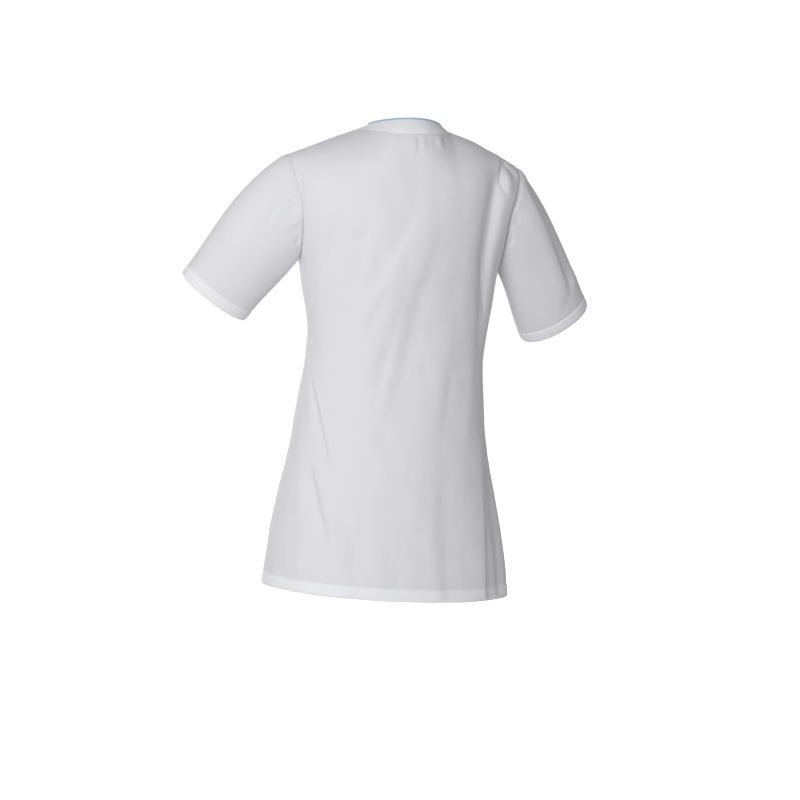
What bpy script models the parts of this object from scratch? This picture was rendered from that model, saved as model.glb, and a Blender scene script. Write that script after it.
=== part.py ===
"""A women's short-sleeved tunic for medical staff, filled out as if worn, with nobody in it.

Metres, +Z up. The wearer faces -Y and the wearer's left side is +X. The origin is the middle
of the neck at the level of the shoulder seams' neck ends, where the wearer's shoulders hold it.

The torso is one smooth form, made of a ridge over the shoulders and a round drop behind and in
front of it. Every piece of the body is a grid laid on that form and given a wall of cloth.
"""

import math
from collections import namedtuple

import bmesh
import bpy
from mathutils import Vector

# The cloth and its seams
WALL = 0.0012
HEM_WALL = 0.0020
SEAM_HALF = 0.0003
SIDE_SEAM_HALF = 0.00045
SHOULDER_SEAM_HALF = 0.0004
ARMHOLE_GAP = 0.0007

# The neck and the shoulders
NECK_HALF = 0.059
BAND_ON_SHOULDER = 0.020
SHOULDER_SLOPE = 0.42
SHOULDER_BOW_LEFT = 0.0015
SHOULDER_BOW_RIGHT = 0.0055
SHOULDER_BOW_AT = 0.120
SHOULDER_BOW_REACH = 0.075
NECK_RISE = 0.026
NECK_RISE_REACH = 0.066
NECK_RISE_POWER = 1.4
RIDGE_ROUNDING = 0.030
NAPE_LEVEL = 0.0085
NAPE_SEAM_LEVEL = -0.0160
NAPE_CURVE = 2.5
V_LEVEL = -0.145
V_SEAM_LEVEL = -0.197
V_BOW = 1.3
DROP_AT_NECK = 0.110
DROP_AT_TIP = 0.072
PIPING_RADIUS = 0.0017
INSIDE_POINT = Vector((0, 0, -0.1))
NEAR = 0.02

# The body's length and the armholes
HEM_LEVEL = -0.752
HEM_TILT = 0.022
HEM_SIDE_RISE = 0.10
HEM_DEPTH = 0.020
HEM_STEP = 0.002
UNDERARM_LEVEL = -0.220
CHEST_ROW_DIP = 0.045
ARMHOLE_SCOOP = 0.42
ARMHOLE_CUT = 0.45
ARMHOLE_CUT_AT_TIP = 0.45
TIP_HALF = 0.190

# The sleeves. Each hangs from its armhole to the middle of its cuff, out from the body,
# forward and down, and leaves the shoulder at its own slope.
Sleeve = namedtuple("Sleeve", "side out forward down shoulder_fall")
SLEEVES = {
    "sleeve_left": Sleeve(1, 0.291, 0.060, 0.284, 0.56),
    "sleeve_right": Sleeve(-1, 0.284, 0.060, 0.301, 0.95),
}
SLEEVE_AXIS = Vector((0.525, -0.329, -0.784))
SLEEVE_TOP = Vector((0.830, 0.000, 0.557))
CUFF_RADIUS_TOP = 0.0635
CUFF_RADIUS_SIDE = 0.048
SLEEVE_HEM = 0.020
SLEEVE_LENGTH = 0.200

# How finely each piece is divided
NECK_COLUMNS = 8
NECK_PLACE = 0.30
SHOULDER_COLUMNS = 8
SKIRT_ROWS = 21
CHEST_ROWS = 12
ROW_CROWDING = 1.4
RIDGE_CROWDING = 1.25
NECK_SWING = 1.0
NECK_SWING_POWER_BACK = 2.0
NECK_SWING_POWER_FRONT = 0.6
SHOULDER_SWING_POWER = 1.5
SLEEVE_ROWS = 9
BAND_ROWS = 2
HEM_ROWS = 2
LEVEL_ROUNDS = 8

# The torso's cross-sections: half its width, its depth behind and in front of the side seams,
# and how far it leans to the wearer's left. Above the underarms the width is the form's own,
# and the armholes cut it back.
Ring = namedtuple("Ring", "level half_width back_depth front_depth lean")
RINGS = (
    Ring(-0.760, 0.2030, 0.147, 0.146, 0.000),
    Ring(-0.684, 0.1945, 0.143, 0.142, 0.002),
    Ring(-0.589, 0.1778, 0.134, 0.135, 0.004),
    Ring(-0.495, 0.1592, 0.120, 0.128, 0.003),
    Ring(-0.400, 0.1474, 0.104, 0.122, 0.001),
    Ring(-0.337, 0.1460, 0.100, 0.125, -0.001),
    Ring(-0.273, 0.1556, 0.109, 0.138, 0.000),
    Ring(-0.220, 0.1640, 0.117, 0.139, 0.000),
    Ring(-0.150, 0.1880, 0.119, 0.123, 0.000),
    Ring(-0.060, 0.2130, 0.112, 0.108, 0.000),
    Ring(0.060, 0.2130, 0.100, 0.100, 0.000),
)

# The largest folds, each a soft trough (a negative height) or ridge down a panel. Across runs
# from -1 at the wearer's right side seam to 1 at the left one, and bow is its sideways swing.
Fold = namedtuple("Fold", "across_top level_top across_foot level_foot bow width height")
BACK_FOLDS = (
    Fold(-0.60, -0.120, -0.90, -0.330, 0.00, 0.060, -0.0050),
    Fold(-0.78, -0.440, -0.60, -0.752, 0.02, 0.060, -0.0060),
    Fold(-0.23, -0.134, 0.18, -0.534, 0.00, 0.180, -0.0030),
    Fold(1.00, -0.330, 0.50, -0.541, -0.02, 0.070, -0.0035),
    Fold(0.68, -0.540, 0.40, -0.700, -0.02, 0.070, -0.0040),
    Fold(0.84, -0.110, 0.80, -0.230, 0.00, 0.070, -0.0030),
    Fold(0.16, -0.560, 0.10, -0.752, 0.00, 0.120, -0.0020),
)
FRONT_FOLDS = (
    Fold(0.46, -0.300, 0.56, -0.700, 0.02, 0.080, -0.0045),
    Fold(-0.50, -0.280, -0.44, -0.752, -0.02, 0.080, -0.0050),
    Fold(0.86, -0.120, 0.80, -0.300, 0.00, 0.080, -0.0040),
    Fold(-0.84, -0.130, -0.90, -0.330, 0.00, 0.080, -0.0040),
    Fold(0.06, -0.420, -0.04, -0.752, 0.02, 0.120, -0.0030),
)

# How sharply a fold dies away at its ends, and how it fades toward the seams
FOLD_END = 14.0
FOLD_SIDE_FADE = 12
SLEEVE_FOLD_START = 0.17

# Shallow hollows and swells of the sleeves. Around is a fraction of a turn from the shoulder
# over the back, and along runs from the armhole to the hem.
SleeveFold = namedtuple("SleeveFold", "around_top along_top around_foot along_foot width height")
SLEEVE_FOLDS = {
    "sleeve_left": (
        SleeveFold(0.16, 0.05, 0.26, 0.55, 0.07, -0.0030),
        SleeveFold(0.60, 0.10, 0.70, 0.80, 0.08, -0.0030),
    ),
    "sleeve_right": (
        SleeveFold(0.12, 0.00, 0.20, 0.45, 0.06, -0.0045),
        SleeveFold(0.30, 0.15, 0.22, 0.90, 0.08, -0.0030),
        SleeveFold(0.64, 0.10, 0.72, 0.80, 0.08, -0.0030),
    ),
}

CLOTH_WHITE = (0.86, 0.86, 0.88)
PIPING_BLUE = (0.42, 0.62, 0.80)


def smooth_through(table, column, at):
    """The value of one column at a level, on a smooth curve through the table's rows."""
    levels = [row.level for row in table]
    values = [getattr(row, column) for row in table]
    at = min(max(at, levels[0]), levels[-1])
    last = len(levels) - 1
    low = max(i for i in range(last) if levels[i] <= at)
    slopes = []
    for i in (low, low + 1):
        before, after = max(i - 1, 0), min(i + 1, last)
        slopes.append((values[after] - values[before]) / (levels[after] - levels[before]))
    span = levels[low + 1] - levels[low]
    t = (at - levels[low]) / span
    return (
        values[low] * (1 + 2 * t) * (1 - t) ** 2
        + slopes[0] * span * t * (1 - t) ** 2
        + values[low + 1] * t * t * (3 - 2 * t)
        + slopes[1] * span * t * t * (t - 1)
    )


def quarter(fraction):
    """The height of a quarter circle, from 0 at its foot to 1 where it is level."""
    return math.sqrt(max(0.0, 1 - (1 - min(max(fraction, 0.0), 1.0)) ** 2))


def ridge(x):
    """The level of the line over both shoulders, which rises where the neck would stand."""
    run = math.hypot(NECK_HALF, RIDGE_ROUNDING) - math.hypot(x, RIDGE_ROUNDING)
    near = max(0.0, 1 - (x / NECK_RISE_REACH) ** 2)
    bow = SHOULDER_BOW_LEFT if x > 0 else SHOULDER_BOW_RIGHT
    middle = max(0.0, 1 - ((abs(x) - SHOULDER_BOW_AT) / SHOULDER_BOW_REACH) ** 2)
    return SHOULDER_SLOPE * run + NECK_RISE * near**NECK_RISE_POWER + bow * middle**2


def drop_radius(x):
    """How far below the ridge the form has turned straight down."""
    out = min(abs(x) / TIP_HALF, 1.0)
    return DROP_AT_NECK + (DROP_AT_TIP - DROP_AT_NECK) * out


def fall(x, way):
    """How far below the ridge a point is, after a way over the form, and how far out it is."""
    radius = drop_radius(x)
    if way < radius * math.pi / 2:
        return radius * (1 - math.cos(way / radius)), math.sin(way / radius)
    return radius + way - radius * math.pi / 2, 1.0


def way_to(x, level):
    """The way over the form from the ridge down to a level."""
    radius = drop_radius(x)
    drop = ridge(x) - level
    if drop < radius:
        return radius * math.acos(1 - max(drop, 0.0) / radius)
    return drop - radius + radius * math.pi / 2


def on_form(x, way, facing):
    """A point of the torso's form, behind (facing 1) or in front (facing -1)."""
    drop, out = fall(x, way)
    level = ridge(x) - drop
    return at_level(x, level, facing, out)


def at_level(x, level, facing, out=1.0):
    half = smooth_through(RINGS, "half_width", level)
    column = "back_depth" if facing > 0 else "front_depth"
    depth = smooth_through(RINGS, column, level)
    round_off = math.sqrt(max(0.0, 1 - min(abs(x) / half, 1.0) ** 2))
    lean = smooth_through(RINGS, "lean", level)
    return Vector((x + lean, facing * depth * round_off * out, level))


def neck_curve(facing, place, inner):
    """A point of the neckline (inner 1) or of the bands' seam (inner 0), as x and way.

    Place runs from -1 at the wearer's right shoulder to 1 at the left one. Behind it stays
    nearly level round the neck, and in front it is a V whose arms bow a little."""
    half = NECK_HALF + (1 - inner) * BAND_ON_SHOULDER
    if facing > 0:
        nape = NAPE_SEAM_LEVEL + (NAPE_LEVEL - NAPE_SEAM_LEVEL) * inner
        out = math.sin(place * math.pi / 2)
        x = half * out
        shoulder = ridge(math.copysign(half, out))
        way = way_to(x, nape + (shoulder - nape) * abs(out) ** NAPE_CURVE)
    else:
        level = V_SEAM_LEVEL + (V_LEVEL - V_SEAM_LEVEL) * inner
        down = max(0.0, 1 - abs(place))
        x = math.copysign(half * (1 - down**V_BOW), place)
        way = way_to(0.0, level) * down
    return x, max(way, SHOULDER_SEAM_HALF)


def armhole_cosine(t):
    """How far round from the side the armhole's edge has come, at a height t of the armhole."""
    cut = ARMHOLE_CUT + (ARMHOLE_CUT_AT_TIP - ARMHOLE_CUT) * t
    scoop = min(t / ARMHOLE_SCOOP, 1.0)
    return cut * (quarter(scoop) + math.sin(scoop * math.pi / 2)) / 2


def column_across(index):
    """The place of a column, from -1 to 1, with one column on each end of the neck seam."""
    count = abs(index)
    if count <= NECK_COLUMNS:
        place = NECK_PLACE * count / NECK_COLUMNS
    else:
        place = NECK_PLACE + (1 - NECK_PLACE) * (count - NECK_COLUMNS) / SHOULDER_COLUMNS
    return math.copysign(place, index)


def column_swing(index, facing):
    """How far out a column swings, so that it meets the neck's edge well away from along it."""
    count = abs(index)
    if count <= NECK_COLUMNS:
        power = NECK_SWING_POWER_BACK if facing > 0 else NECK_SWING_POWER_FRONT
        return NECK_SWING * (count / NECK_COLUMNS) ** power
    return NECK_SWING * (1 - (count - NECK_COLUMNS) / SHOULDER_COLUMNS) ** SHOULDER_SWING_POWER


def skirt_levels(low):
    """The levels of the rows below the armholes, from the hem up: the hem's own come first."""
    levels = [HEM_LEVEL, HEM_LEVEL + HEM_DEPTH, HEM_LEVEL + HEM_DEPTH + HEM_STEP]
    rest = SKIRT_ROWS - len(levels)
    start = levels[-1]
    return levels + [start + (low - start) * (k + 1) / (rest + 1) for k in range(rest)]


def fold_ends(down):
    """How much of its height a fold has, from nothing past its top, 0, and its foot, 1."""
    down = min(max(down, -1.0), 2.0)
    return 1 / (1 + math.exp(-FOLD_END * down)) / (1 + math.exp(-FOLD_END * (1 - down)))


def fold_height(folds, across, level):
    """How far the folds lift or sink the cloth at a place of a panel."""
    total = 0.0
    for fold in folds:
        down = (fold.level_top - level) / (fold.level_top - fold.level_foot)
        middle = fold.across_top + (fold.across_foot - fold.across_top) * down
        middle += fold.bow * 4 * down * (1 - down)
        aside = (across - middle) / fold.width
        total += fold.height * fold_ends(down) * math.exp(-aside * aside)
    return total


def panel_point(index, row, facing):
    """A point of the front or back panel, before its folds, and its place across and down."""
    across = column_across(index)
    neck_place = min(abs(index) / NECK_COLUMNS, 1.0)
    low = UNDERARM_LEVEL
    if facing < 0:
        low -= CHEST_ROW_DIP * (1 - neck_place**2) ** 2
    if row < SKIRT_ROWS:
        level = skirt_levels(low)[row]
        half = smooth_through(RINGS, "half_width", level)
        edge = 1 - SIDE_SEAM_HALF / half / (math.pi / 2)
        point = at_level(half * math.sin(across * edge * math.pi / 2), level, facing)
        point.z += (HEM_TILT + HEM_SIDE_RISE * point.x) * point.x * (level / HEM_LEVEL) ** 4
        return point, across
    t = 1 - (1 - ((row - SKIRT_ROWS) / CHEST_ROWS) ** ROW_CROWDING) ** RIDGE_CROWDING
    turn = math.acos(armhole_cosine(t))
    level = low
    for _ in range(LEVEL_ROUNDS):
        half = smooth_through(RINGS, "half_width", level)
        squeeze = (math.pi / 2 - turn) * across * abs(across)
        x = half * math.sin(across * math.pi / 2 - squeeze)
        top = SHOULDER_SEAM_HALF
        if abs(index) <= NECK_COLUMNS:
            top_x, top = neck_curve(facing, index / NECK_COLUMNS, -SEAM_HALF / BAND_ON_SHOULDER)
            x += (top_x - x) * t * t
        bottom = way_to(x, low)
        x += math.copysign(column_swing(index, facing) * (bottom - top) * t * t * (1 - t), index)
        way = bottom * (1 - t) + top * t
        level = ridge(x) - fall(x, way)[0]
    if row == SKIRT_ROWS:
        edge = 1 - SIDE_SEAM_HALF / half / (math.pi / 2)
        return at_level(half * math.sin(across * edge * math.pi / 2), level, facing), across
    return on_form(x, way, facing), across


def grid_piece(name, columns, rows, place, folds, collection, material, walls=None):
    """A grid of columns by rows laid where place says, pushed by its folds, given a wall."""
    mesh = bpy.data.meshes.new(name)
    bm = bmesh.new()
    bmesh.ops.create_grid(bm, x_segments=columns, y_segments=rows, size=1.0)
    where = {}
    for vert in bm.verts:
        column = round((vert.co.x + 1) / 2 * columns)
        row = round((vert.co.y + 1) / 2 * rows)
        where[vert] = (column, row)
        vert.co = place(column, row)
    bm.normal_update()
    pushed = {vert: vert.co + vert.normal * folds(*where[vert]) for vert in bm.verts}
    for vert, co in pushed.items():
        vert.co = co
    bm.to_mesh(mesh)
    order = [where[vert] for vert in bm.verts]
    bm.free()
    piece = bpy.data.objects.new(name, mesh)
    collection.objects.link(piece)
    mesh.materials.append(material)
    mesh.shade_smooth()
    cloth = piece.modifiers.new("Cloth wall", "SOLIDIFY")
    cloth.thickness = HEM_WALL if walls else WALL
    cloth.offset = -1.0
    if walls:
        group = piece.vertex_groups.new(name="wall")
        for i, (column, row) in enumerate(order):
            group.add([i], walls(column, row) / HEM_WALL, "REPLACE")
        cloth.vertex_group = group.name
    return piece


def make_panel(name, facing, folds, collection, material):
    half_columns = NECK_COLUMNS + SHOULDER_COLUMNS

    def place(column, row):
        return panel_point((half_columns - column) * facing, row, facing)[0]

    def push(column, row):
        point, across = panel_point((half_columns - column) * facing, row, facing)
        fade = 1 - abs(across) ** FOLD_SIDE_FADE
        if row > SKIRT_ROWS:
            fade *= 1 - ((row - SKIRT_ROWS) / CHEST_ROWS) ** 3
        return fold_height(folds, across, point.z) * fade

    def wall(column, row):
        return HEM_WALL if row < HEM_ROWS else WALL

    rows = SKIRT_ROWS + CHEST_ROWS
    return grid_piece(name, 2 * half_columns, rows, place, push, collection, material, wall)


def new_material(name, colour, roughness, sheen):
    material = bpy.data.materials.new(name)
    material.use_nodes = True
    shader = material.node_tree.nodes["Principled BSDF"]
    shader.inputs["Base Color"].default_value = (*colour, 1.0)
    shader.inputs["Roughness"].default_value = roughness
    shader.inputs["Metallic"].default_value = 0.0
    shader.inputs["Sheen Weight"].default_value = sheen
    material.diffuse_color = (*colour, 1.0)
    return material


def clear_scene():
    for obj in list(bpy.data.objects):
        bpy.data.objects.remove(obj, do_unlink=True)


def armhole_points(side):
    """The armhole's edge all round, from the shoulder down the back and up the front."""
    last = NECK_COLUMNS + SHOULDER_COLUMNS
    rows = range(SKIRT_ROWS + CHEST_ROWS, SKIRT_ROWS - 1, -1)
    behind = [panel_point(side * last, row, 1)[0] for row in rows]
    before = [panel_point(side * last, row, -1)[0] for row in rows]
    behind[0] = (behind[0] + before[0]) / 2
    behind[-1] = (behind[-1] + before[-1]) / 2
    return behind + before[-2:0:-1]


def make_sleeve(name, collection, material):
    """A tube from the armhole to the cuff, each lengthwise line one smooth curve."""
    sleeve = SLEEVES[name]
    folds = SLEEVE_FOLDS[name]
    start = armhole_points(sleeve.side)
    around = len(start)
    mirror = Vector((sleeve.side, 1, 1))
    cuff_centre = Vector((sleeve.out, -sleeve.forward, -sleeve.down))
    axis = SLEEVE_AXIS.normalized()
    up = (SLEEVE_TOP - SLEEVE_TOP.dot(axis) * axis).normalized()
    back = up.cross(axis)
    run = Vector((1, 0, -sleeve.shoulder_fall)).normalized()

    def point(column, along):
        turn = 2 * math.pi * column / around
        cuff = cuff_centre + up * CUFF_RADIUS_TOP * math.cos(turn)
        cuff = (cuff + back * CUFF_RADIUS_SIDE * math.sin(turn)) * mirror
        first = start[column % around]
        top = (1 + math.cos(turn)) / 2
        leave = (run * top + axis * (1 - top)).normalized() * mirror
        length = (cuff - first).length
        first = first + leave * ARMHOLE_GAP
        leave, arrive = leave * length, axis * mirror * length
        t = along
        return (
            first * ((1 + 2 * t) * (1 - t) ** 2)
            + leave * (t * (1 - t) ** 2)
            + cuff * (t * t * (3 - 2 * t))
            + arrive * (t * t * (t - 1))
        )

    mesh = bpy.data.meshes.new(name)
    bm = bmesh.new()
    stations = sleeve_stations()
    rings = []
    for along in stations:
        rings.append([bm.verts.new(point(column, along)) for column in range(around)])
    for low, high in zip(rings, rings[1:]):
        for i in range(around):
            j = (i + 1) % around
            bm.faces.new((low[i], low[j], high[j], high[i]))
    bmesh.ops.recalc_face_normals(bm, faces=bm.faces)
    bm.normal_update()
    pushed = {}
    for along, ring in zip(stations, rings):
        for column, vert in enumerate(ring):
            height = sleeve_fold_height(folds, column / around, along)
            pushed[vert] = vert.co + vert.normal * height
    for vert, co in pushed.items():
        vert.co = co
    bm.verts.index_update()
    hem = [vert.index for ring in rings[-HEM_ROWS:] for vert in ring]
    bm.to_mesh(mesh)
    bm.free()
    piece = bpy.data.objects.new(name, mesh)
    collection.objects.link(piece)
    mesh.materials.append(material)
    mesh.shade_smooth()
    group = piece.vertex_groups.new(name="wall")
    group.add(range(len(mesh.vertices)), WALL / HEM_WALL, "REPLACE")
    group.add(hem, 1.0, "REPLACE")
    cloth = piece.modifiers.new("Cloth wall", "SOLIDIFY")
    cloth.thickness = HEM_WALL
    cloth.offset = -1.0
    cloth.vertex_group = group.name
    return piece


def sleeve_stations():
    """Where the sleeve's rows lie between the armhole, 0, and the hem, 1."""
    hem = 1 - SLEEVE_HEM / SLEEVE_LENGTH
    step = (hem - HEM_STEP / SLEEVE_LENGTH) / SLEEVE_ROWS
    return [k * step for k in range(SLEEVE_ROWS + 1)] + [hem, 1.0]


def sleeve_fold_height(folds, around, along):
    total = 0.0
    for fold in folds:
        down = (along - fold.along_top) / (fold.along_foot - fold.along_top)
        middle = fold.around_top + (fold.around_foot - fold.around_top) * down
        aside = (around - middle) / fold.width
        start = min(along / SLEEVE_FOLD_START, 1.0)
        total += fold.height * fold_ends(down) * math.exp(-aside * aside) * start
    return total


def band_point(facing, place, inner):
    """A point of a neck band, from its seam (inner 0) to the neckline (inner 1)."""
    outer_x, outer_way = neck_curve(facing, place, SEAM_HALF / BAND_ON_SHOULDER)
    inner_x, inner_way = neck_curve(facing, place, 1)
    x = outer_x + (inner_x - outer_x) * inner
    way = outer_way + (inner_way - outer_way) * inner
    return on_form(x, way, facing)


def unfolded(column, row):
    return 0.0


def make_bands(collection, material):
    def back_place(column, row):
        return band_point(1, 1 - column / NECK_COLUMNS, row / BAND_ROWS)

    grid_piece(
        "neck_band_back",
        2 * NECK_COLUMNS,
        BAND_ROWS,
        back_place,
        unfolded,
        collection,
        material,
    )
    for name, side in (("neck_band_front_left", 1), ("neck_band_front_right", -1)):

        def front_place(column, row, side=side):
            share = column if side > 0 else NECK_COLUMNS - column
            point = band_point(-1, side * share / NECK_COLUMNS, row / BAND_ROWS)
            point.x = side * max(abs(point.x), SEAM_HALF)
            return point

        grid_piece(name, NECK_COLUMNS, BAND_ROWS, front_place, unfolded, collection, material)


def neckline_points():
    """The neckline all round, a point clear of the bands' edge and midway in their wall."""
    clear = PIPING_RADIUS + SEAM_HALF
    points = []
    stops = [(1, k / NECK_COLUMNS - 1) for k in range(2 * NECK_COLUMNS)]
    stops += [(-1, 1 - k / NECK_COLUMNS) for k in range(2 * NECK_COLUMNS)]
    for facing, place in stops:
        edge = band_point(facing, place, 1.0)
        inward = edge - band_point(facing, place, 1 - NEAR)
        aside = -NEAR if place > 0 else NEAR
        along = (band_point(facing, place + aside, 1.0) - edge).normalized()
        away = (inward - along * inward.dot(along)).normalized()
        normal = along.cross(away)
        if normal.dot(edge - INSIDE_POINT) < 0:
            normal.negate()
        if facing < 0 and place == 0:
            above = clear / math.sin(along.angle(Vector((0, 0, 1))))
            edge = on_form(0.0, neck_curve(-1, 0, 1)[1] - above, -1)
            away = Vector((0, 0, 0))
            normal = Vector((0, -1, 0))
        points.append(edge + away * clear - normal * (WALL / 2))
    return points


def make_piping(collection, material):
    curve = bpy.data.curves.new("neck_piping", "CURVE")
    curve.dimensions = "3D"
    curve.bevel_depth = PIPING_RADIUS
    curve.bevel_resolution = 1
    curve.use_fill_caps = True
    points = neckline_points()
    spline = curve.splines.new("POLY")
    spline.points.add(len(points) - 1)
    for target, co in zip(spline.points, points):
        target.co = (*co, 1.0)
    spline.use_cyclic_u = True
    curve.materials.append(material)
    piping = bpy.data.objects.new("neck_piping", curve)
    collection.objects.link(piping)
    return piping


def main():
    clear_scene()
    tunic = bpy.data.collections.new("medical_tunic")
    bpy.context.scene.collection.children.link(tunic)
    cloth = new_material("white_cloth", CLOTH_WHITE, 0.85, 0.2)
    blue = new_material("blue_piping", PIPING_BLUE, 0.7, 0.1)
    make_panel("back", 1, BACK_FOLDS, tunic, cloth)
    make_panel("front", -1, FRONT_FOLDS, tunic, cloth)
    for name in SLEEVES:
        make_sleeve(name, tunic, cloth)
    make_bands(tunic, cloth)
    make_piping(tunic, blue)


main()
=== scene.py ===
import math
from collections import namedtuple

import bmesh
import bpy
import numpy as np
from mathutils import Matrix, Vector, noise


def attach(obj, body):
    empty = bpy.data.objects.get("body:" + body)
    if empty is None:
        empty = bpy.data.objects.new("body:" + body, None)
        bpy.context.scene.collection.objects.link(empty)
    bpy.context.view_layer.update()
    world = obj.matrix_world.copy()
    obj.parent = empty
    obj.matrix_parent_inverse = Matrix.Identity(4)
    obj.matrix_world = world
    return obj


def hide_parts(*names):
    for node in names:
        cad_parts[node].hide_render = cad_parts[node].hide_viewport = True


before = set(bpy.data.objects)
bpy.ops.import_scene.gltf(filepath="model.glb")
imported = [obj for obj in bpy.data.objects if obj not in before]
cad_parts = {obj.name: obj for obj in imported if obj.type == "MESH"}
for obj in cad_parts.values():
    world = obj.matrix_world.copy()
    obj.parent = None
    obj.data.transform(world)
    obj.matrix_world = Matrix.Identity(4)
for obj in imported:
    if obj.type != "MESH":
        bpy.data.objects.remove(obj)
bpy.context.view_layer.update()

print("frame loaded:", ", ".join(sorted(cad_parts)))

# Metres, +Z up. The wearer faces -Y and the wearer's left side is +X.

cloth = {
    "wall": 0.0008,
    "hemWall": 0.0019,
    "bandWall": 0.0009,
    "seamGap": 0.00004,  # half the slit between two sewn edges
    "seamSink": 0.0002,  # how far a sewn edge dips
    "sinkWidth": 0.0011,
    "armholeSink": {1: 0.0003, -1: 0.0016},  # the dip to an armhole, wearer's left 1 and right -1
    "armholeSinkWidth": 0.0038,
    "fold": 0.0009,  # the first step inward where an edge is turned
    "allowance": 0.0075,  # the raw edge turned inside at a seam
    "hem": 0.020,
    "hemFade": 0.0014,  # over this height the doubled cloth becomes single,
    "hemFadeUp": 0.0008,  # to this far above the hem
    "stitchUp": 0.0185,  # the hem's stitch line above the edge
}

# The torso's form: a ridge over both shoulders and a round drop behind and in front of it
form = {
    "neckHalf": 0.059, "bandOnShoulder": 0.020,
    "slope": 0.42, "bowLeft": 0.0015, "bowRight": 0.0055, "bowAt": 0.120, "bowReach": 0.075,
    "neckRise": 0.026, "neckRiseReach": 0.066, "neckRisePower": 1.4, "rounding": 0.030,
    "napeLevel": 0.0085, "napeSeamLevel": -0.0160, "napeCurve": 2.5,
    "vLevel": -0.145, "vSeamLevel": -0.197, "vBow": 1.3,
    "dropAtNeck": 0.110, "dropAtTip": 0.072, "tipHalf": 0.190,
    "hemLevel": -0.752, "hemTilt": 0.022, "hemSideRise": 0.10, "hemTiltPower": 4,
    "underarm": -0.220, "chestDip": 0.045, "scoop": 0.42, "armholeCut": 0.45,
    "neckShare": 0.30, "swingBack": 2.0, "swingFront": 0.6, "swingOut": 1.5,
}

# Cross-sections: level, half width, depth behind, depth in front, lean to the wearer's left
rings = np.array((
    (-0.760, 0.2030, 0.147, 0.146, 0.000),
    (-0.684, 0.1945, 0.143, 0.142, 0.002),
    (-0.589, 0.1778, 0.134, 0.135, 0.004),
    (-0.495, 0.1592, 0.120, 0.128, 0.003),
    (-0.400, 0.1474, 0.104, 0.122, 0.001),
    (-0.337, 0.1460, 0.100, 0.125, -0.001),
    (-0.273, 0.1556, 0.109, 0.138, 0.000),
    (-0.220, 0.1640, 0.117, 0.139, 0.000),
    (-0.150, 0.1880, 0.119, 0.123, 0.000),
    (-0.060, 0.2130, 0.112, 0.108, 0.000),
    (0.060, 0.2130, 0.100, 0.100, 0.000),
))
halfWidth, backDepth, frontDepth, leaning = 1, 2, 3, 4


def through(column, level):
    # a smooth curve through one column of the cross-sections
    levels, values = rings[:, 0], rings[:, column]
    slopes = np.empty(len(levels))
    slopes[1:-1] = (values[2:] - values[:-2]) / (levels[2:] - levels[:-2])
    slopes[0] = (values[1] - values[0]) / (levels[1] - levels[0])
    slopes[-1] = (values[-1] - values[-2]) / (levels[-1] - levels[-2])
    at = np.clip(level, levels[0], levels[-1])
    low = np.clip(np.searchsorted(levels, at, side="right") - 1, 0, len(levels) - 2)
    span = levels[low + 1] - levels[low]
    t = (at - levels[low]) / span
    return (
        values[low] * (1 + 2 * t) * (1 - t) ** 2
        + slopes[low] * span * t * (1 - t) ** 2
        + values[low + 1] * t * t * (3 - 2 * t)
        + slopes[low + 1] * span * t * t * (t - 1)
    )


def ridgeLevel(x):
    run = math.hypot(form["neckHalf"], form["rounding"]) - np.hypot(x, form["rounding"])
    near = np.maximum(0.0, 1 - (x / form["neckRiseReach"]) ** 2)
    bow = np.where(x > 0, form["bowLeft"], form["bowRight"])
    middle = np.maximum(0.0, 1 - ((np.abs(x) - form["bowAt"]) / form["bowReach"]) ** 2)
    return form["slope"] * run + form["neckRise"] * near ** form["neckRisePower"] + bow * middle**2


def dropRadius(x):
    out = np.minimum(np.abs(x) / form["tipHalf"], 1.0)
    return form["dropAtNeck"] + (form["dropAtTip"] - form["dropAtNeck"]) * out


def fallAt(x, way):
    # how far below the ridge, and how far out, a way over the form leads
    radius = dropRadius(x)
    turn = np.minimum(way / radius, math.pi / 2)
    straight = np.maximum(way - radius * math.pi / 2, 0.0)
    return radius * (1 - np.cos(turn)) + straight, np.sin(turn)


def wayTo(x, level):
    radius = dropRadius(x)
    drop = ridgeLevel(x) - level
    curved = radius * np.arccos(1 - np.clip(drop, 0, radius) / radius)
    return np.where(drop < radius, curved, drop - radius + radius * math.pi / 2)


def atLevel(x, level, facing, out=1.0):
    half = through(halfWidth, level)
    depth = through(backDepth if facing > 0 else frontDepth, level)
    roundOff = np.sqrt(np.maximum(0.0, 1 - np.minimum(np.abs(x) / half, 1.0) ** 2))
    y = facing * depth * roundOff * out
    return np.stack(np.broadcast_arrays(x + through(leaning, level), y, level), axis=-1)


def onForm(x, way, facing):
    drop, out = fallAt(x, way)
    return atLevel(x, ridgeLevel(x) - drop, facing, out)


def formNormal(x, way, facing, step=0.0015):
    ahead = onForm(x, way + step, facing) - onForm(x, np.maximum(way - step, 0), facing)
    aside = onForm(x + step, way, facing) - onForm(x - step, way, facing)
    return unit(np.cross(aside, ahead) * facing)


def unit(vectors):
    return vectors / np.maximum(np.linalg.norm(vectors, axis=-1, keepdims=True), 1e-12)


def bell(distance, width):
    return np.exp(-((distance / width) ** 2))


def placed(name, data):
    made = bpy.data.objects.new(name, data)
    bpy.context.scene.collection.objects.link(made)
    return made


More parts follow.
